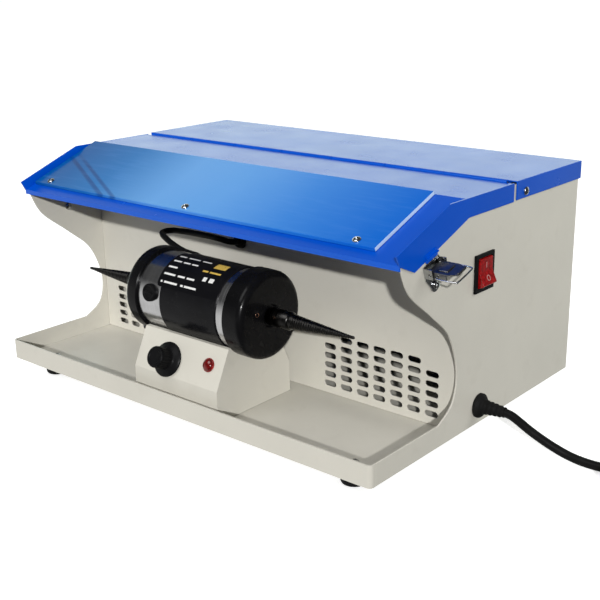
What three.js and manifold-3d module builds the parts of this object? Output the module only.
// Bench polishing motor in a dust cabinet: two tapered spindles, flip-up hood, extraction fan.
// Millimetres, +Z up, front towards -Y. The cabinet is drawn from its own corner datum:
// X = 0 on the centre line, Y = 0 at the face of the tray's front lip, Z = 0 under the tray.
// The finished group is then moved so that its origin is the bottom centre of the whole machine.
import * as THREE from 'three';
import { mergeVertices } from 'three/addons/utils/BufferGeometryUtils.js';
import Module from 'manifold-3d';

const wasm = await Module();
wasm.setup();

// ---- driving dimensions -------------------------------------------------------------------
const GAP = 0.3;                    // assembly clearance between neighbouring pieces
const SHEET = 1.5;                  // cabinet sheet
const LID_SHEET = 1.2;              // hood and lid sheet
const HALF_WIDTH = 209.2;           // to the outside of the side panels
const REAR = 295;                   // outside of the back panel
const FLANGE_X = HALF_WIDTH + GAP;  // inside face of the lid and hood flanges
const LIP_HEIGHT = 17.8;            // tray lip
const PANEL_TOP = 185.8;
const HOOD_TOP = 187.6;
const LID_TOP = 188.6;
const FLANGE_DROP = 14.6;           // height of the lid and hood flanges
const FOOT_HEIGHT = 14;
const ORIGIN_Y = 146.66;            // middle of the machine's depth, from the lip's face
const FOOT_X = 176.5;
const FOOT_Y = [24, 265];

const WALL_Y = 113.4;               // front face of the slotted wall
const SLOT_PITCH = { x: 17, z: 8.4 };
const SLOT = { length: 12.5, height: 5, firstX: 82, firstZ: 10.8, columns: 7, rows: 6 };

const HOOD_BEND = { y: 113.1, z: HOOD_TOP };
const HOOD_FRONT = { y: 29.9, z: 155.8 };
const HOOD_LIP = 4;
const HINGE = { y: 183.3, z: 187.2, radius: 2.4, pin: 1.1, half: 204, knuckles: 7 };

const MOTOR = { x: 2, y: 53.4, z: 85.1, tube: 34, cap: 36.5 };
const TUBE_ENDS = [-49.5, 51];      // along X
const SLEEVE_ENDS = [-22, 42];
const CAP_ENDS = [-64, 71];
const COLLAR = { radius: 7.4, end: 92.5 };
const TAPER = { radius: 6.4, tip: 1.1, end: 154.4 };
const BOLT = { out: 16.3, rise: 5, radius: 2.2 };   // the end caps' sunk screws, from the axis
const BRUSH = { x: -33.5, lift: 13, radius: 7.5 };

const PEDESTAL = { halfWidth: 48.5, front: 9.5, knee: 28.5, top: 60.2, topFront: 24.6 };
const KNOB = { x: -10.2, up: 13.1, skirt: 14.7, grip: 9, height: 17 };
const LAMP = { x: 34.8, up: 18.9, lens: 5.8 };

const SWITCH = { y: 141.3, z: 126.2, width: 26.5, height: 30, pivot: 209.2, tilt: 12 };
const GLAND = { y: 142.5, z: 15.5, flange: 10, hole: 7.5, end: 232 };
const LATCH = { y: 68.8, z: 149.5, tilt: 17, half: 8.2, screw: -18, length: 22.5 };
const LATCH_PIVOT = { x: 214.6, w: -4.2 };
const BAIL = { out: 219.6, w: -5, half: 10.8, reach: 17.5, wire: 0.7 };
const LID_SCREW = { y: 200.4, z: 178.8 };
const SHIELD = { x0: -206.3, x1: 183.3, start: 1, length: 78, thick: 3 };
const SHIELD_SCREW_X = [-188, -11, 164];
const SHIELD_SCREW_S = 74;

const FAN = { z: 94, size: 120, depth: 38, bore: 57, hub: 20 };
const CORD = 7;                     // mains cord diameter
const LEAD = 5.4;                   // motor lead diameter

// ---- materials ----------------------------------------------------------------------------
const paint = (color, roughness = 0.45, metalness = 0) =>
  new THREE.MeshStandardMaterial({ color, roughness, metalness });
const GREY = paint(0xc9c6bb, 0.55);
const BLUE = paint(0x0a55d6, 0.25);
const BLACK = paint(0x141414, 0.35);
const RUBBER = paint(0x101010, 0.8);
const STEEL = paint(0xc8ccd0, 0.2, 1);
const CHROME = paint(0xe0e3e6, 0.1, 1);
const DARK_STEEL = paint(0x1c1c1e, 0.4, 0.8);
const COPPER = paint(0xb06a3a, 0.35, 1);
const RED = paint(0xc81414, 0.3);
const ACRYLIC = paint(0x6fa8e8, 0.12);
const BOARD = paint(0x1f6b3a, 0.5);
const FOAM = paint(0x3a3c40, 0.95);

// ---- solids -------------------------------------------------------------------------------
// A closed geometry as a manifold: corners merged and put on a fine grid, so that faces meant to
// be flush are flush; slivers dropped; faces pointing out.
const GRID = 1e4;                   // grid steps per millimetre
function solid(geometry) {
  const bare = geometry.clone();
  for (const name of Object.keys(bare.attributes)) {
    if (name !== 'position') bare.deleteAttribute(name);
  }
  const merged = mergeVertices(bare, 1e-4);
  const index = merged.index.array;
  const corners = [];
  for (let i = 0; i < index.length; i += 3) {
    const [a, b, c] = [index[i], index[i + 1], index[i + 2]];
    if (a !== b && b !== c && c !== a) corners.push(a, b, c);
  }
  const build = (list) => new wasm.Manifold(new wasm.Mesh({
    numProp: 3,
    vertProperties: merged.attributes.position.array.map((v) => Math.round(v * GRID) / GRID),
    triVerts: new Uint32Array(list),
  }));
  const first = build(corners);
  if (first.volume() > 0) return first;
  const flipped = [];
  for (let i = 0; i < corners.length; i += 3) flipped.push(corners[i], corners[i + 2], corners[i + 1]);
  return build(flipped);
}

const join = (first, ...others) => others.reduce((whole, piece) => whole.add(piece), first);
const cut = (first, ...tools) => tools.reduce((whole, tool) => whole.subtract(tool), first);

function geometryOf(manifold) {
  const { vertProperties, triVerts, numProp } = manifold.getMesh();
  const corners = new Float32Array(triVerts.length * 3);
  triVerts.forEach((v, i) => {
    for (let k = 0; k < 3; k += 1) corners[i * 3 + k] = vertProperties[v * numProp + k];
  });
  const geometry = new THREE.BufferGeometry();
  geometry.setAttribute('position', new THREE.BufferAttribute(corners, 3));
  geometry.computeVertexNormals();
  return geometry;
}

const machine = new THREE.Group();
function add(name, manifold, material, placement = new THREE.Matrix4()) {
  const mesh = new THREE.Mesh(geometryOf(manifold).applyMatrix4(placement), material);
  mesh.name = name;
  machine.add(mesh);
}

const range = (count) => Array.from({ length: count }, (_, i) => i);
const both = [['left', -1], ['right', 1]];

function box([x0, x1], [y0, y1], [z0, z1]) {
  const geometry = new THREE.BoxGeometry(x1 - x0, y1 - y0, z1 - z0);
  return solid(geometry.translate((x0 + x1) / 2, (y0 + y1) / 2, (z0 + z1) / 2));
}

// A turned piece: profile points are [radius, distance along the axis]; it stands at `at`,
// and its axis points along `along`.
function turned(profile, at, along, segments = 24) {
  const points = profile.map(([r, h]) => new THREE.Vector2(r, h));
  const geometry = new THREE.LatheGeometry(points, segments);
  const up = new THREE.Vector3(0, 1, 0);
  geometry.applyQuaternion(new THREE.Quaternion().setFromUnitVectors(up, along.clone().normalize()));
  return solid(geometry.translate(at.x, at.y, at.z));
}
const X = new THREE.Vector3(1, 0, 0);
const Y = new THREE.Vector3(0, 1, 0);
const Z = new THREE.Vector3(0, 0, 1);
const point = (x, y, z) => new THREE.Vector3(x, y, z);

const rod = (radius, from, to, at, along, segments) =>
  turned([[0, from], [radius, from], [radius, to], [0, to]], at, along, segments);
const ring = (inner, outer, from, to, at, along, segments) =>
  turned([[inner, from], [outer, from], [outer, to], [inner, to], [inner, from]], at, along, segments);

// Plates: an outline swept straight along X (drawn in Y, Z), along Y (drawn in X, Z) or along Z.
const swept = (shape, depth, curveSegments) =>
  new THREE.ExtrudeGeometry(shape, { depth, bevelEnabled: false, curveSegments });
function plateX(shape, x0, x1) {
  const geometry = swept(shape, x1 - x0, 10);
  geometry.applyMatrix4(new THREE.Matrix4().set(0, 0, 1, x0, 1, 0, 0, 0, 0, 1, 0, 0, 0, 0, 0, 1));
  return solid(geometry);
}
function plateY(shape, y0, y1, curveSegments = 6) {
  const geometry = swept(shape, y1 - y0, curveSegments);
  return solid(geometry.rotateX(Math.PI / 2).translate(0, y1, 0));
}
function plateZ(shape, z0, z1) {
  return solid(swept(shape, z1 - z0, 5).translate(0, 0, z0));
}
const outline = (points) => new THREE.Shape(points.map(([a, b]) => new THREE.Vector2(a, b)));

// ---- tray, panels and feet ----------------------------------------------------------------
function baseTray() {
  const inner = HALF_WIDTH - SHEET;
  const bend = 4;
  const lipEnd = 6;
  const lip = new THREE.Shape();
  lip.moveTo(-HALF_WIDTH, lipEnd);
  lip.lineTo(-HALF_WIDTH, bend);
  lip.absarc(-HALF_WIDTH + bend, bend, bend, Math.PI, 1.5 * Math.PI);
  lip.absarc(HALF_WIDTH - bend, bend, bend, 1.5 * Math.PI, 2 * Math.PI);
  lip.lineTo(HALF_WIDTH, lipEnd);
  lip.lineTo(inner, lipEnd);
  lip.absarc(HALF_WIDTH - bend, bend, bend - SHEET, 0, -0.5 * Math.PI, true);
  lip.absarc(-HALF_WIDTH + bend, bend, bend - SHEET, 1.5 * Math.PI, Math.PI, true);
  lip.lineTo(-inner, lipEnd);
  const floor = box([-inner + GAP, inner - GAP], [SHEET / 2, REAR - SHEET - GAP], [0, SHEET]);
  const holes = both.map(([, side]) => rod(2.6, -1, 3, point(side * FOOT_X, FOOT_Y[0], 0), Z, 12));
  return cut(join(plateZ(lip, 0, LIP_HEIGHT), floor), ...holes);
}

// The side panel's outline: low along the tray, then an S-shaped front edge up to the hood.
function sideOutline() {
  const side = new THREE.Shape();
  side.moveTo(6.3, 0);
  side.lineTo(REAR, 0);
  side.lineTo(REAR, PANEL_TOP);
  side.lineTo(HOOD_BEND.y + 0.8, PANEL_TOP);
  side.lineTo(31.8, 154.5);
  side.splineThru([[44, 131], [73, 107.5], [97, 86], [109, 55], [104.5, 30], [86, LIP_HEIGHT]]
    .map(([y, z]) => new THREE.Vector2(y, z)));
  side.lineTo(6.3, LIP_HEIGHT);
  return side;
}

function sidePanel(side) {
  const faces = [side * (HALF_WIDTH - SHEET), side * HALF_WIDTH].sort((a, b) => a - b);
  const hole = (radius, y, z) => rod(radius, -5, 5, point(side * HALF_WIDTH, y, z), X, 12);
  const screw = latchPoint(LATCH.screw);
  const screwHoles = [hole(1.9, screw.y, screw.z), hole(2.3, LID_SCREW.y, LID_SCREW.z)];
  let panel = cut(plateX(sideOutline(), ...faces), ...screwHoles);
  if (side > 0) {
    const w = SWITCH.width / 2 - 1.4;
    const h = SWITCH.height / 2 - 1.4;
    const window = box([190, 220], [SWITCH.y - w, SWITCH.y + w], [SWITCH.z - h, SWITCH.z + h]);
    panel = cut(panel, window, hole(GLAND.hole + GAP, GLAND.y, GLAND.z));
  }
  return panel;
}

function slot(x, z, length, height) {
  const half = (length - height) / 2;
  const path = new THREE.Path();
  path.absarc(x + half, z, height / 2, -Math.PI / 2, Math.PI / 2);
  path.absarc(x - half, z, height / 2, Math.PI / 2, 1.5 * Math.PI);
  return path;
}

function innerWall() {
  const half = HALF_WIDTH - SHEET - GAP;
  const bottom = SHEET + GAP;
  const wall = outline([[-half, bottom], [half, bottom], [half, PANEL_TOP - 1], [-half, PANEL_TOP - 1]]);
  for (const [, side] of both) {
    for (const column of range(SLOT.columns)) {
      const short = column === 0 || column === SLOT.columns - 1;
      for (const row of range(SLOT.rows - (short ? 1 : 0))) {
        const x = side * (SLOT.firstX + column * SLOT_PITCH.x);
        wall.holes.push(slot(x, SLOT.firstZ + row * SLOT_PITCH.z, SLOT.length, SLOT.height));
      }
    }
  }
  const sheet = plateY(wall, WALL_Y, WALL_Y + SHEET, 1);
  const edge = box([-half, half], [WALL_Y, WALL_Y + 14], [PANEL_TOP - 1 - SHEET, PANEL_TOP - 1]);
  return cut(join(sheet, edge), rod(4.6, -3, 5, LEAD_ENTRY, Y, 16));
}

function backPanel() {
  const half = HALF_WIDTH - SHEET - GAP;
  const back = outline([[-half, GAP], [half, GAP], [half, PANEL_TOP], [-half, PANEL_TOP]]);
  const reach = FAN.bore - 4;
  for (const row of range(11)) {
    const rise = (row - 5) * 10;
    const length = 2 * Math.sqrt(reach * reach - rise * rise);
    back.holes.push(slot(0, FAN.z + rise, length, 5));
  }
  return plateY(back, REAR - SHEET, REAR, 3);
}

const FOOT_PROFILE = [
  [0, -FOOT_HEIGHT], [9.6, -FOOT_HEIGHT], [10.4, 1 - FOOT_HEIGHT], [11.6, -1.4], [11, -GAP],
];
function foot(side, y, drilled) {
  const bore = 2.3;
  const end = drilled ? [[bore, -GAP], [bore, -9], [0, -9]] : [[0, -GAP]];
  return turned([...FOOT_PROFILE, ...end], point(side * FOOT_X, y, 0), Z, 20);
}

const domeHead = (radius, height) => [[radius, 0], [radius * 0.8, height * 0.75], [0, height]];
function screw(radius, height, shank, length, at, along, segments = 10) {
  const stem = [[0, -length], [shank, -length], [shank, 0]];
  return turned([...stem, ...domeHead(radius, height)], at, along, segments);
}

// ---- lid, hood and hinge ------------------------------------------------------------------
function rearLid() {
  const front = HINGE.y + 3.4;
  const inside = REAR + GAP;
  const outer = FLANGE_X + LID_SHEET;
  const bottom = LID_TOP - FLANGE_DROP - 0.6;
  const block = box([-outer, outer], [front, inside + SHEET], [bottom, LID_TOP]);
  const hollow = box([-FLANGE_X, FLANGE_X], [front - 1, inside], [bottom - 1, LID_TOP - LID_SHEET]);
  return cut(block, hollow, rod(2.3, -outer - 1, outer + 1, point(0, LID_SCREW.y, LID_SCREW.z), X, 12));
}

// Down the sloping face: a distance s from the bend, lifted h above the sheet.
const SLOPE = new THREE.Vector2(HOOD_FRONT.y - HOOD_BEND.y, HOOD_FRONT.z - HOOD_BEND.z).normalize();
const onSlope = (x, s, h) =>
  point(x, HOOD_BEND.y + SLOPE.x * s + SLOPE.y * h, HOOD_BEND.z + SLOPE.y * s - SLOPE.x * h);
const SLOPE_NORMAL = point(0, SLOPE.y, -SLOPE.x);

function hoodSheet() {
  const rear = HINGE.y - 3.2;
  const t = LID_SHEET;
  const bendIn = onSlope(0, 0.3, -t);
  const frontIn = onSlope(0, Math.hypot(HOOD_FRONT.y - HOOD_BEND.y, HOOD_FRONT.z - HOOD_BEND.z) - t, -t);
  return outline([
    [rear, HOOD_TOP], [HOOD_BEND.y, HOOD_BEND.z], [HOOD_FRONT.y, HOOD_FRONT.z],
    [HOOD_FRONT.y, HOOD_FRONT.z - HOOD_LIP], [HOOD_FRONT.y + t, HOOD_FRONT.z - HOOD_LIP],
    [HOOD_FRONT.y + t, frontIn.z], [frontIn.y, frontIn.z], [bendIn.y, HOOD_TOP - t], [rear, HOOD_TOP - t],
  ]);
}

// The cheeks stand a finger's width above the slope and hang over the outside of the panels.
function cheekOutline() {
  const rear = HINGE.y - 1.2;
  const top = HOOD_TOP + 0.1;
  const bottom = HOOD_TOP - FLANGE_DROP;
  return outline([
    [rear, top], [91, top], [25.5, 163.2], [30, 155], [47.6, 147.2], [117.2, bottom], [rear, bottom],
  ]);
}

// The latch keeper: a small plate on the cheek's lower edge, with a lip for the bail.
function keeper(side) {
  const half = 7;
  const shape = outline([
    [0.2, 3.4], [1.4, 3.4], [1.4, 6.3], [3, 6.3], [3, 7.4], [1.4, 7.4], [1.4, 9], [0.2, 9],
  ]);
  const geometry = swept(shape, 2 * half, 1);
  geometry.translate(0, 0, -half);
  geometry.rotateX(Math.PI / 2).translate(FLANGE_X + LID_SHEET - 0.4, 0, 0);
  return solid(geometry.applyMatrix4(latchFrame(side)));
}

const shieldBores = (depth) => SHIELD_SCREW_X.map(
  (x) => rod(1.9, -6, depth, onSlope(x, SHIELD_SCREW_S, 0), SLOPE_NORMAL, 10),
);
function frontHood() {
  const outer = FLANGE_X + LID_SHEET;
  const faces = (side) => [side * FLANGE_X, side * outer].sort((a, b) => a - b);
  const cheeks = both.map(([, side]) => plateX(cheekOutline(), ...faces(side)));
  const keepers = both.map(([, side]) => keeper(side));
  const sheet = plateX(hoodSheet(), -outer + 0.5, outer - 0.5);
  return cut(join(sheet, ...cheeks, ...keepers), ...shieldBores(4));
}

// One leaf of the hinge: its strip, and every second knuckle round the pin.
function hingeLeaf(first, strip) {
  const pitch = (2 * HINGE.half) / HINGE.knuckles;
  const at = point(0, HINGE.y, HINGE.z);
  let leaf = strip;
  const spaces = [];
  for (const i of range(HINGE.knuckles)) {
    const x0 = -HINGE.half + i * pitch;
    if (i % 2 === first) {
      leaf = join(leaf, rod(HINGE.radius, x0 + GAP, x0 + pitch - GAP, at, X, 10));
    } else {
      const clear = HINGE.radius + 0.5;
      spaces.push(box([x0, x0 + pitch], [HINGE.y - clear, HINGE.y + clear], [HINGE.z - 4, HINGE.z + 4]));
    }
  }
  return cut(leaf, ...spaces, rod(HINGE.pin + GAP, -HINGE.half - 1, HINGE.half + 1, at, X, 8));
}

function hinge() {
  const under = [HOOD_TOP - LID_SHEET - GAP - 1, HOOD_TOP - LID_SHEET - GAP];
  const lidUnder = [LID_TOP - LID_SHEET - GAP - 1, LID_TOP - LID_SHEET - GAP];
  const length = [-HINGE.half, HINGE.half];
  add('hinge_leaf_hood', hingeLeaf(0, box(length, [HINGE.y - 18, HINGE.y - 1.2], under)), BLUE);
  add('hinge_leaf_lid', hingeLeaf(1, box(length, [HINGE.y + 1.2, HINGE.y + 18], lidUnder)), BLUE);
  const pin = rod(HINGE.pin, -HINGE.half, HINGE.half, point(0, HINGE.y, HINGE.z), X, 8);
  add('hinge_pin', pin, STEEL);
}

function shield() {
  const half = SHIELD.length / 2;
  const geometry = new THREE.BoxGeometry(SHIELD.x1 - SHIELD.x0, SHIELD.length, SHIELD.thick);
  const frame = new THREE.Matrix4().makeBasis(X, point(0, -SLOPE.x, -SLOPE.y), SLOPE_NORMAL);
  frame.setPosition(onSlope((SHIELD.x0 + SHIELD.x1) / 2, SHIELD.start + half, GAP + SHIELD.thick / 2));
  return cut(solid(geometry.applyMatrix4(frame)), ...shieldBores(8));
}

// ---- latches ------------------------------------------------------------------------------
// Each latch is drawn in its own frame: x outwards, y up and back along the panel, z up towards
// the keeper, with its origin on the panel's middle plane. The frame then leans with the hood.
function latchFrame(side) {
  const a = THREE.MathUtils.degToRad(LATCH.tilt);
  const along = point(0, Math.cos(a), Math.sin(a)).multiplyScalar(side);
  const up = point(0, -Math.sin(a), Math.cos(a));
  return new THREE.Matrix4().makeBasis(point(side, 0, 0), along, up).setPosition(0, LATCH.y, LATCH.z);
}
const latchPoint = (z) => point(0, 0, z).applyMatrix4(latchFrame(1));

function latchBase() {
  const face = HALF_WIDTH + GAP;
  const half = LATCH.half + 1.6;
  const tab = 5;
  const round = range(7).map((i) => {
    const turn = (i * Math.PI) / 6;
    return [-tab * Math.cos(turn), LATCH.screw - 0.5 - tab * Math.sin(turn)];
  });
  const shape = outline([[-half, 1.5], [-half, -10], ...round, [half, -10], [half, 1.5]]);
  const plate = plateX(shape, face, face + 1);
  const ears = [-half, half - 1].map((y) => box([face + 0.5, LATCH_PIVOT.x + 2], [y, y + 1], [-7.6, 0.5]));
  const screwHole = rod(1.9, -5, 5, point(face, 0, LATCH.screw), X, 12);
  return cut(join(plate, ...ears), screwHole, latchPin(half + 2, 1 + GAP));
}
const latchPin = (half, radius) => rod(radius, -half, half, point(LATCH_PIVOT.x, 0, LATCH_PIVOT.w), Y, 10);

// The lever stands straight out: a tapered plate with turned-down edges and a finger lip.
function latchLever() {
  const { half, length } = LATCH;
  const near = LATCH_PIVOT.x - 2.2;
  const far = near + length;
  const top = -1.8;
  const plate = plateZ(outline([
    [near, -half], [far - 7, -half], [far, -half + 2.6], [far, half - 2.6], [far - 7, half], [near, half],
  ]), top - 1, top);
  const depth = [LATCH_PIVOT.w - 2.4, top - 0.3];
  const edges = [-half, half - 1].map((y) => box([near, far - 8], [y, y + 1], depth));
  const lip = box([far - 0.6, far + 0.6], [-half + 3, half - 3], [top - 0.7, top + 1.2]);
  const eyes = rod(BAIL.wire + GAP, -half - 1, half + 1, point(BAIL.out, 0, BAIL.w), Y, 10);
  return join(cut(join(plate, ...edges, lip), eyes), latchPin(half + 1.4, 1));
}

// The bail: a wire loop hung in the lever's edges, long enough to swing over its tip to the keeper.
function latchBail() {
  const { out, w, half, reach, wire } = BAIL;
  const arms = [-half, half].map((y) => rod(wire, out, out + reach, point(0, y, w), X, 8));
  const cross = (radius, from, to, x) => rod(radius, from, to, point(x, 0, w), Y, 8);
  const stub = 4.4;                 // how far each end turns in through the lever's edge
  const stubs = [[-half, -half + stub], [half - stub, half]];
  const ends = stubs.map(([from, to]) => cross(wire - 0.03, from, to, out));
  return join(cross(wire + 0.03, -half, half, out + reach), ...arms, ...ends);
}

// ---- pedestal, controls and lamp ----------------------------------------------------------
const MOTOR_AT = point(0, MOTOR.y, MOTOR.z);

function pedestalOutline(inset) {
  const { front, knee, top, topFront } = PEDESTAL;
  const mirror = (y) => 2 * MOTOR.y - y;
  const base = SHEET + GAP - (inset ? 1 : 0);
  return outline([
    [front + inset, base], [mirror(front) - inset, base], [mirror(front) - inset, knee],
    [mirror(topFront) - inset, top - inset], [topFront + inset, top - inset], [front + inset, knee],
  ]);
}

const FACE_UP = new THREE.Vector2(
  PEDESTAL.topFront - PEDESTAL.front,
  PEDESTAL.top - PEDESTAL.knee,
).normalize();
const FACE_NORMAL = point(0, -FACE_UP.y, FACE_UP.x);
const onFace = (x, up) => point(x, PEDESTAL.front + FACE_UP.x * up, PEDESTAL.knee + FACE_UP.y * up);

function pedestal() {
  const x0 = MOTOR.x - PEDESTAL.halfWidth;
  const x1 = MOTOR.x + PEDESTAL.halfWidth;
  const saddle = (extra) => rod(MOTOR.tube + 1 + GAP + extra, x0 - 1, x1 + 1, MOTOR_AT, X, 32);
  const shell = cut(plateX(pedestalOutline(0), x0, x1), saddle(0));
  const hollow = cut(plateX(pedestalOutline(SHEET), x0 + SHEET, x1 - SHEET), saddle(SHEET));
  const potHole = rod(3.9, -5, 5, onFace(KNOB.x, KNOB.up), FACE_NORMAL, 16);
  const lampHole = rod(4.5, -5, 5, onFace(LAMP.x, LAMP.up), FACE_NORMAL, 16);
  return cut(shell, hollow, potHole, lampHole);
}

function speedPot() {
  const profile = [
    [3.1, -20], [10, -20], [12, -19], [12, -6], [3.6, -6], [3.6, -0.2], [3.1, -0.2], [3.1, -20],
  ];
  return turned(profile, onFace(KNOB.x, KNOB.up), FACE_NORMAL, 24);
}

function speedKnob() {
  const { skirt, grip, height } = KNOB;
  const profile = [
    [0, -16], [2.8, -16], [2.8, 0.4], [skirt, 0.4], [skirt, 2], [skirt - 1.2, 3.2],
    [grip + 1.2, 4.2], [grip, 6], [grip, height - 1], [grip - 1.4, height], [0, height],
  ];
  const knob = turned(profile, onFace(KNOB.x, KNOB.up), FACE_NORMAL, 20);
  const flutes = range(6).map((i) => {
    const turn = (i * Math.PI) / 3 + 0.3;
    const out = point(Math.cos(turn), Math.sin(turn) * FACE_UP.x, Math.sin(turn) * FACE_UP.y);
    const at = onFace(KNOB.x, KNOB.up).addScaledVector(out, grip + 1.2);
    return rod(1.9, 6.5, height + 1, at, FACE_NORMAL, 8);
  });
  return cut(knob, ...flutes);
}

function indicatorLamp() {
  const r = LAMP.lens;
  const profile = [
    [0, -14], [4.1, -14], [4.1, 0.3], [r, 0.3], [r, 1.4], [r * 0.87, 2.6], [r * 0.5, 3.6], [0, 4],
  ];
  return turned(profile, onFace(LAMP.x, LAMP.up), FACE_NORMAL, 20);
}

function speedBoard() {
  const board = box([-30, 34], [46, 76], [8, 9.6]);
  const parts = [
    box([-26, -8], [50, 66], [9, 24]), rod(6, 9, 30, point(6, 60, 0), Z, 16),
    box([18, 30], [52, 64], [9, 20]), rod(4, 9, 21, point(-1, 70, 0), Z, 12),
  ];
  const corners = [[-27, 49], [31, 49], [-27, 73], [31, 73]];
  const posts = corners.map(([x, y]) => rod(2.5, SHEET + GAP, 8.5, point(x, y, 0), Z, 8));
  return join(board, ...parts, ...posts);
}

// ---- motor --------------------------------------------------------------------------------
const brushAxis = (turn) => {
  const a = THREE.MathUtils.degToRad(BRUSH.lift);
  return point(0, -Math.cos(a), Math.sin(a)).multiplyScalar(turn);
};
const brushAt = point(BRUSH.x, MOTOR.y, MOTOR.z);

function motorTube() {
  const shell = ring(MOTOR.tube - 2.5, MOTOR.tube, TUBE_ENDS[0] + GAP, TUBE_ENDS[1] - GAP, MOTOR_AT, X, 32);
  const holes = [1, -1].map((turn) => rod(5.3, 20, 45, brushAt, brushAxis(turn), 16));
  return cut(shell, ...holes, rod(4, 0, 45, MOTOR_AT.clone().setX(LEAD_EXIT_X), LEAD_AXIS, 12));
}

// A brush holder: a screwed cap outside the tube and its carbon brush down to the commutator.
function brush(turn) {
  const r = BRUSH.radius;
  const axis = brushAxis(turn);
  const head = turned([[0, 30], [r, 30], [r, 36.2], [r - 1.2, 37], [0, 37]], brushAt, axis, 20);
  const seated = cut(head, rod(MOTOR.tube + GAP, BRUSH.x - 12, BRUSH.x + 12, MOTOR_AT, X, 32));
  return join(seated, rod(5, 18, 36, brushAt, axis, 16), rod(3, 11.4, 19, brushAt, axis, 12));
}

// An end cap: a cup over the tube's end with a bearing seat inside. Drawn outwards along its axis.
function endCap(side) {
  const from = Math.abs(TUBE_ENDS[side > 0 ? 1 : 0]);
  const to = Math.abs(CAP_ENDS[side > 0 ? 1 : 0]);
  const R = MOTOR.cap;
  const profile = [
    [31, from - 6], [31, from], [R, from], [R, to - 6], [R - 0.7, to - 3.4], [R - 2.4, to - 1.3],
    [R - 5, to - 0.3], [R - 7, to], [8.2, to], [8.2, to - 2], [4.6, to - 2], [4.6, to - 4], [11.3, to - 4],
    [11.3, to - 11.5], [13.5, to - 11.5], [13.5, to - 5.5], [28.5, to - 5.5], [28.5, from - 6],
    [31, from - 6],
  ];
  const cap = turned(profile, MOTOR_AT, point(side, 0, 0), 26);
  const sockets = [1, -1].map((turn) => {
    const at = point(0, MOTOR.y - BOLT.out * turn, MOTOR.z + BOLT.rise * turn);
    return rod(BOLT.radius, to - 4, to + 1, at, point(side, 0, 0), 12);
  });
  return cut(cap, ...sockets);
}

function bearing(side) {
  const to = Math.abs(CAP_ENDS[side > 0 ? 1 : 0]);
  const [a, b] = [to - 11.2, to - 4.3];
  const profile = [
    [4.3, a], [11, a], [11, b], [9.2, b], [9.2, b - 0.8], [6, b - 0.8], [6, b], [4.3, b], [4.3, a],
  ];
  return turned(profile, MOTOR_AT, point(side, 0, 0), 16);
}

const stator = () => ring(25, MOTOR.tube - 2.8, -24, 36, MOTOR_AT, X, 32);

// The laminated core: twelve teeth with slots between them for the windings.
function armature() {
  const [x0, x1] = [-22, 34];
  const slots = 12;
  const outer = 24;
  const root = 17;
  const tooth = [[outer, 0], [outer, 0.2], [outer, 0.4], [root, 0.32], [root, 0.48]];
  const corners = range(slots).flatMap((i) => tooth.map(([r, turn]) => {
    const a = turn + (i * 2 * Math.PI) / slots;
    return [MOTOR.y + r * Math.cos(a), MOTOR.z + r * Math.sin(a)];
  }));
  return cut(plateX(outline(corners), x0, x1), rod(4.3, x0 - 8, x1 + 6, MOTOR_AT, X, 16));
}

const SPINDLE_BORE = 30;
function spindle(side) {
  const start = Math.abs(CAP_ENDS[side > 0 ? 1 : 0]) - 1.5;
  const turns = 9;
  const taper = range(turns + 1).flatMap((i) => {
    const h = COLLAR.end + 2 + ((TAPER.end - COLLAR.end - 4) * i) / turns;
    const r = THREE.MathUtils.lerp(TAPER.radius, TAPER.tip + 0.6, i / turns);
    return i === turns ? [[r, h]] : [[r, h], [r - 0.55, h + 3]];
  });
  const profile = [
    [4.3, start], [COLLAR.radius, start], [COLLAR.radius, COLLAR.end - 1.5],
    [COLLAR.radius - 0.6, COLLAR.end], [TAPER.radius - 0.4, COLLAR.end],
    ...taper, [TAPER.tip, TAPER.end - 0.6], [0, TAPER.end],
    [0, start + SPINDLE_BORE], [4.3, start + SPINDLE_BORE - 6], [4.3, start],
  ];
  return turned(profile, MOTOR_AT, point(side, 0, 0), 14);
}

function motor() {
  add('motor_tube', motorTube(), STEEL);
  add('motor_sleeve', ring(MOTOR.tube + GAP, MOTOR.tube + 1, ...SLEEVE_ENDS, MOTOR_AT, X, 32), BLACK);
  add('brush_front', brush(1), BLACK);
  add('brush_rear', brush(-1), BLACK);
  add('stator', stator(), DARK_STEEL);
  const shaftEnds = [CAP_ENDS[0] - 20, CAP_ENDS[1] + 20];
  add('rotor_shaft', rod(4, ...shaftEnds, MOTOR_AT, X, 16), STEEL);
  add('armature_core', armature(), DARK_STEEL);
  add('commutator', ring(4.3, 11, -42, -26, MOTOR_AT, X, 24), COPPER);
  for (const [name, side] of both) {
    add(`end_cap_${name}`, endCap(side), BLACK);
    add(`bearing_${name}`, bearing(side), STEEL);
    add(`spindle_${name}`, spindle(side), DARK_STEEL);
  }
}

// ---- switch, gland, fan -------------------------------------------------------------------
function switchHousing() {
  const face = HALF_WIDTH + GAP;
  const w = SWITCH.width / 2;
  const h = SWITCH.height / 2;
  const [y, z] = [SWITCH.y, SWITCH.z];
  const span = (middle, half) => [middle - half, middle + half];
  const bezel = box([face, face + 2.2], span(y, w), span(z, h));
  const body = box([face - 21, face + 1], span(y, w - 1.8), span(z, h - 1.8));
  const blades = [-7, 0, 7].map((rise) => box([face - 29, face - 20.5], span(y, 3), span(z + rise, 0.4)));
  const well = box([face - 8, face + 4], span(y, w - 3.4), span(z, h - 3));
  return cut(join(bezel, body, ...blades), well);
}

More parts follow.
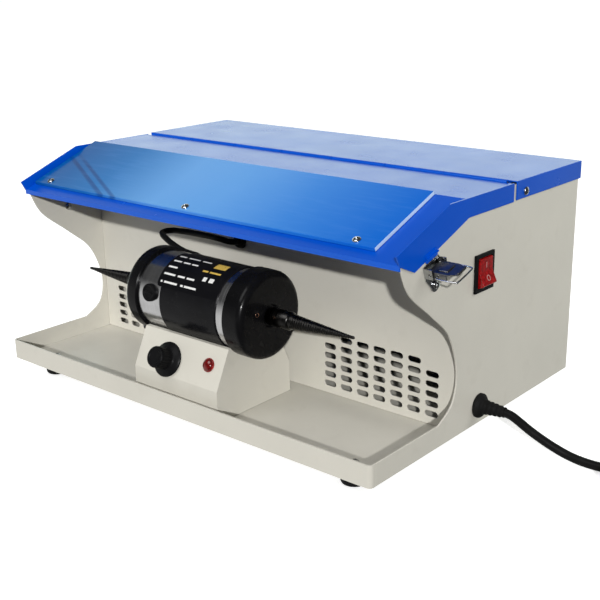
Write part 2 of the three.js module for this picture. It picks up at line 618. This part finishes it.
// The rocker's ends are arcs about its pivot, so it swings inside the bezel's window.
function switchRocker() {
  const R = SWITCH.height / 2 - 3.4;
  const crest = 5.6;
  const reach = Math.sqrt(R * R - crest * crest);
  const arc = (a, b) => range(5).map((i) => {
    const t = a + ((b - a) * i) / 4;
    return [R * Math.cos(t), R * Math.sin(t)];
  });
  const rise = Math.atan2(reach, crest);
  const points = [...arc(-1.97, -rise), [crest - 2.2, 0], ...arc(rise, 1.97)];
  const width = SWITCH.width - 7.4;
  const geometry = swept(outline(points), width, 1).translate(0, 0, -width / 2);
  geometry.rotateX(Math.PI / 2);
  geometry.rotateY(-THREE.MathUtils.degToRad(SWITCH.tilt));
  return solid(geometry.translate(SWITCH.pivot, SWITCH.y, SWITCH.z));
}

function cordGland() {
  const { flange, hole, end } = GLAND;
  const face = HALF_WIDTH + GAP;
  const profile = [
    [0, face - 9], [hole - 1, face - 9], [hole, face - 6], [hole, face], [flange, face], [flange, face + 2.4],
    [flange - 2.2, face + 4.6], [6.2, face + 5.4], [5, face + 9], [4.2, end], [0, end],
  ];
  return turned(profile, point(0, GLAND.y, GLAND.z), X, 20);
}

const FAN_FRONT = REAR - SHEET - GAP - FAN.depth;
function fanFrame() {
  const half = FAN.size / 2;
  const y1 = FAN_FRONT + FAN.depth;
  const square = box([-half, half], [FAN_FRONT, y1], [FAN.z - half, FAN.z + half]);
  const at = point(0, 0, FAN.z);
  const strut = (turn) => {
    const geometry = new THREE.BoxGeometry(FAN.bore - FAN.hub + 6, 4, 6);
    geometry.translate((FAN.bore + FAN.hub) / 2, 0, 0).rotateY(turn).translate(0, y1 - 2, FAN.z);
    return solid(geometry);
  };
  const struts = range(3).map((i) => strut((i * 2 * Math.PI) / 3 + 0.5));
  const waist = ring(FAN.bore + 6, 100, FAN_FRONT + 6, y1 - 6, at, Y, 28);
  const bore = rod(FAN.bore, FAN_FRONT - 1, y1 + 1, at, Y, 32);
  return join(cut(square, bore, waist), ...struts, rod(FAN.hub, y1 - 6, y1, at, Y, 20));
}

function fanRotor() {
  const at = point(0, 0, FAN.z);
  const [front, back] = [FAN_FRONT + 3, FAN_FRONT + FAN.depth - 6.6];
  const r = FAN.hub;
  const hub = turned([[0, front], [r - 2, front], [r, front + 2], [r, back], [0, back]], at, Y, 20);
  const blades = range(7).map((i) => {
    const geometry = new THREE.BoxGeometry(FAN.bore - FAN.hub, 1.6, 26);
    geometry.rotateX(0.85).translate((FAN.bore + FAN.hub) / 2 - 2, (front + back) / 2, 0);
    geometry.rotateY((i * 2 * Math.PI) / 7).translate(0, 0, FAN.z);
    return solid(geometry);
  });
  const sweep = rod(FAN.bore - 2, front + 0.5, back - 0.5, at, Y, 32);
  return join(hub, ...blades.map((blade) => blade.intersect(sweep)));
}

// ---- cords --------------------------------------------------------------------------------
// The motor's lead leaves the tube at the back, loops round to the left and enters the wall.
const LEAD_EXIT_X = -38;
const LEAD_RISE = 0.35;             // radians above the rear horizontal
const LEAD_AXIS = point(0, Math.cos(LEAD_RISE), Math.sin(LEAD_RISE));
const LEAD_ENTRY = point(-18, WALL_Y, 120);
function leadRoute() {
  const exit = MOTOR_AT.clone().setX(LEAD_EXIT_X);
  const entry = (depth) => LEAD_ENTRY.clone().add(point(0, depth, 0));
  return [
    exit.clone().addScaledVector(LEAD_AXIS, MOTOR.tube - 2.6),
    exit.clone().addScaledVector(LEAD_AXIS, MOTOR.tube + 3.5),
    point(-41.5, 93.5, 101), point(-50, 93.5, 104.5), point(-64, 88.5, 108.4), point(-76, 87, 112.8),
    point(-87, 88.6, 116.2), point(-96, 92.6, 118), point(-100.5, 98, 118.6), point(-97, 103.2, 119.3),
    point(-84, 105.5, 120), point(-64, 104.5, 121), point(-45, 102.3, 122), point(-31, 101.3, 122),
    point(-21.5, 103.8, 120.6), entry(-5.5), entry(-2), entry(12),
  ];
}

function tube(points, diameter, sides, steps) {
  const curve = new THREE.CatmullRomCurve3(points, false, 'centripetal');
  const section = new THREE.Shape();
  section.moveTo(diameter / 2, 0);
  for (const i of range(sides - 1)) {
    const a = ((i + 1) * 2 * Math.PI) / sides;
    section.lineTo((diameter / 2) * Math.cos(a), (diameter / 2) * Math.sin(a));
  }
  return solid(new THREE.ExtrudeGeometry(section, { steps, extrudePath: curve, bevelEnabled: false }));
}

// Mains cord: out of the gland, down to the bench, along it to the coil beside the machine.
const FLOOR = -FOOT_HEIGHT;
const CORD_Z = FLOOR + CORD / 2;
const COIL = { x: 392, y: 113, inner: 28, outer: 45.5, height: 28 };
const CORD_ROUTE = [
  [GLAND.end + 1, GLAND.y, GLAND.z], [239, 142.5, 14.4], [246.5, 142.6, 11], [255, 143.2, 6.3],
  [264.5, 144.4, 1.5], [275.5, 146.8, -3.9], [287.2, 149.4, -8.4], [300.5, 151, CORD_Z],
  [314, 151.9, CORD_Z], [328, 152.8, CORD_Z], [346, 154.4, CORD_Z], [366, 155, CORD_Z],
].map(([x, y, z]) => point(x, y, z));

function cords() {
  add('cord_gland', cordGland(), BLACK);
  add('mains_cord', tube(CORD_ROUTE, CORD, 8, 20), RUBBER);
  const { x, y, inner, outer, height } = COIL;
  add('cord_coil', ring(inner, outer, FLOOR, FLOOR + height, point(x, y, 0), Z, 32), RUBBER);
  add('mains_plug', mainsPlug(), RUBBER);
}

// A moulded two-pin plug lying on the bench, its sleeve towards the coil.
const PLUG = { x: COIL.x + COIL.outer - CORD / 2, y: 62, radius: 18 };
function mainsPlug() {
  const z = FLOOR + PLUG.radius;
  const at = point(PLUG.x, PLUG.y, z);
  const profile = [
    [0, -22], [4.6, -22], [6.5, 0], [13, 10], [PLUG.radius, 16], [PLUG.radius, 34], [16.5, 36], [0, 36],
  ];
  const body = turned(profile, at, point(0, -1, 0), 20);
  const pins = [-9.5, 9.5].map((x) => rod(2.4, 35, 55, point(PLUG.x + x, PLUG.y, z), point(0, -1, 0), 12));
  return join(body, ...pins);
}

// ---- assembly -----------------------------------------------------------------------------
function addLatch(name, side) {
  const frame = latchFrame(side);
  add(`latch_base_${name}`, latchBase(), CHROME, frame);
  add(`latch_lever_${name}`, latchLever(), CHROME, frame);
  add(`latch_bail_${name}`, latchBail(), STEEL, frame);
  const screwAt = point(HALF_WIDTH + 2 * GAP + 1, 0, LATCH.screw);
  add(`latch_screw_${name}`, screw(3, 1.6, 1.6, 6, screwAt, X), CHROME, frame);
}

function cabinet() {
  add('base_tray', baseTray(), GREY);
  add('inner_wall', innerWall(), GREY);
  add('back_panel', backPanel(), GREY);
  add('rear_lid', rearLid(), BLUE);
  add('motor_pedestal', pedestal(), GREY);
  for (const [name, side] of both) {
    add(`side_panel_${name}`, sidePanel(side), GREY);
    add(`foot_front_${name}`, foot(side, FOOT_Y[0], true), RUBBER);
    add(`foot_rear_${name}`, foot(side, FOOT_Y[1], false), RUBBER);
    const trayScrew = point(side * FOOT_X, FOOT_Y[0], SHEET + GAP);
    add(`foot_screw_${name}`, screw(3.8, 2.2, 2, 9, trayScrew, Z), CHROME);
    const lidScrew = point(side * (FLANGE_X + LID_SHEET + GAP), LID_SCREW.y, LID_SCREW.z);
    add(`lid_screw_${name}`, screw(3.4, 1.8, 1.9, 6, lidScrew, point(side, 0, 0)), CHROME);
    addLatch(name, side);
  }
}

function hood() {
  add('front_hood', frontHood(), BLUE);
  hinge();
  add('hood_shield', shield(), ACRYLIC);
  SHIELD_SCREW_X.forEach((x, i) => {
    const at = onSlope(x, SHIELD_SCREW_S, SHIELD.thick + 2 * GAP);
    add(`shield_screw_${i + 1}`, screw(3.4, 1.8, 1.6, 7, at, SLOPE_NORMAL), CHROME);
  });
}

function controls() {
  add('speed_pot', speedPot(), BLACK);
  add('speed_knob', speedKnob(), BLACK);
  add('speed_board', speedBoard(), BOARD);
  add('indicator_lamp', indicatorLamp(), RED);
  add('switch_housing', switchHousing(), BLACK);
  add('switch_rocker', switchRocker(), RED);
}

// The filter pad lies against the front of the fan and covers its frame.
function filterPad() {
  const half = FAN.size / 2 + 4;
  const thick = 10;
  return box([-half, half], [FAN_FRONT - GAP - thick, FAN_FRONT - GAP], [FAN.z - half, FAN.z + half]);
}

function extraction() {
  add('filter_pad', filterPad(), FOAM);
  add('fan_frame', fanFrame(), BLACK);
  add('fan_rotor', fanRotor(), BLACK);
}

function lead() {
  add('motor_lead', tube(leadRoute(), LEAD, 8, 44), RUBBER);
  const profile = [[3.1, -4], [5.2, -4], [7, -GAP], [4.3, -GAP], [4.3, 3], [3.1, 3], [3.1, -4]];
  const grommet = turned(profile, LEAD_ENTRY, Y, 20);
  add('lead_grommet', grommet, RUBBER);
}

cabinet();
hood();
motor();
controls();
extraction();
lead();
cords();
machine.position.set(0, -ORIGIN_Y, FOOT_HEIGHT);
export default machine;
